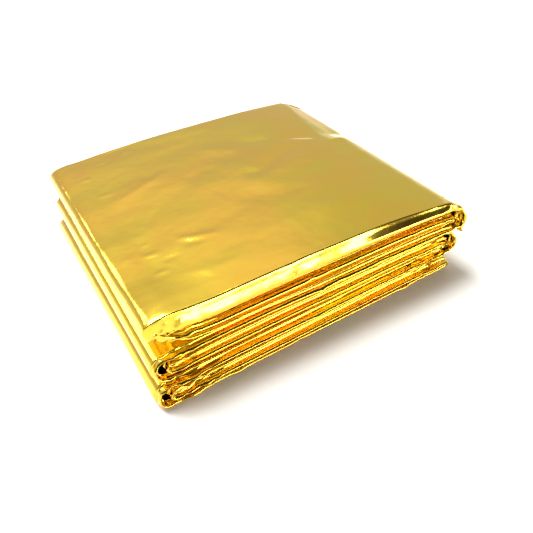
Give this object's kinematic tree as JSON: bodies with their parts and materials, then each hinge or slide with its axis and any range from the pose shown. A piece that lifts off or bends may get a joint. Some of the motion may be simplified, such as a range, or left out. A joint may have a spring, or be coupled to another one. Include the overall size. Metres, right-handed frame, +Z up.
{
  "type": "folded emergency foil blanket",
  "caption": "Thin metallised film rescue blanket folded back and forth into a flat pack, lying on a surface; unfolded, it wraps a person to hold in body heat.",
  "frame": {"origin": "centre of the pack's footprint, on the surface it lies on", "axes": "+Z up through the layers; X along the folded strip, from the side with the soft rolled fold at -X to the side with the hanging free end at +X; Y across the strip, -Y towards the front face where the pleat edges show"},
  "size_m": [0.1286, 0.122, 0.0331],
  "materials": {
    "metallised_film": "gold-tinted vapour-coated aluminium on thin PET film, glossy, softly wrinkled"
  },
  "bodies": {
    "root": {"foil_blanket": "metallised_film"}
  },
  "joints": []
}
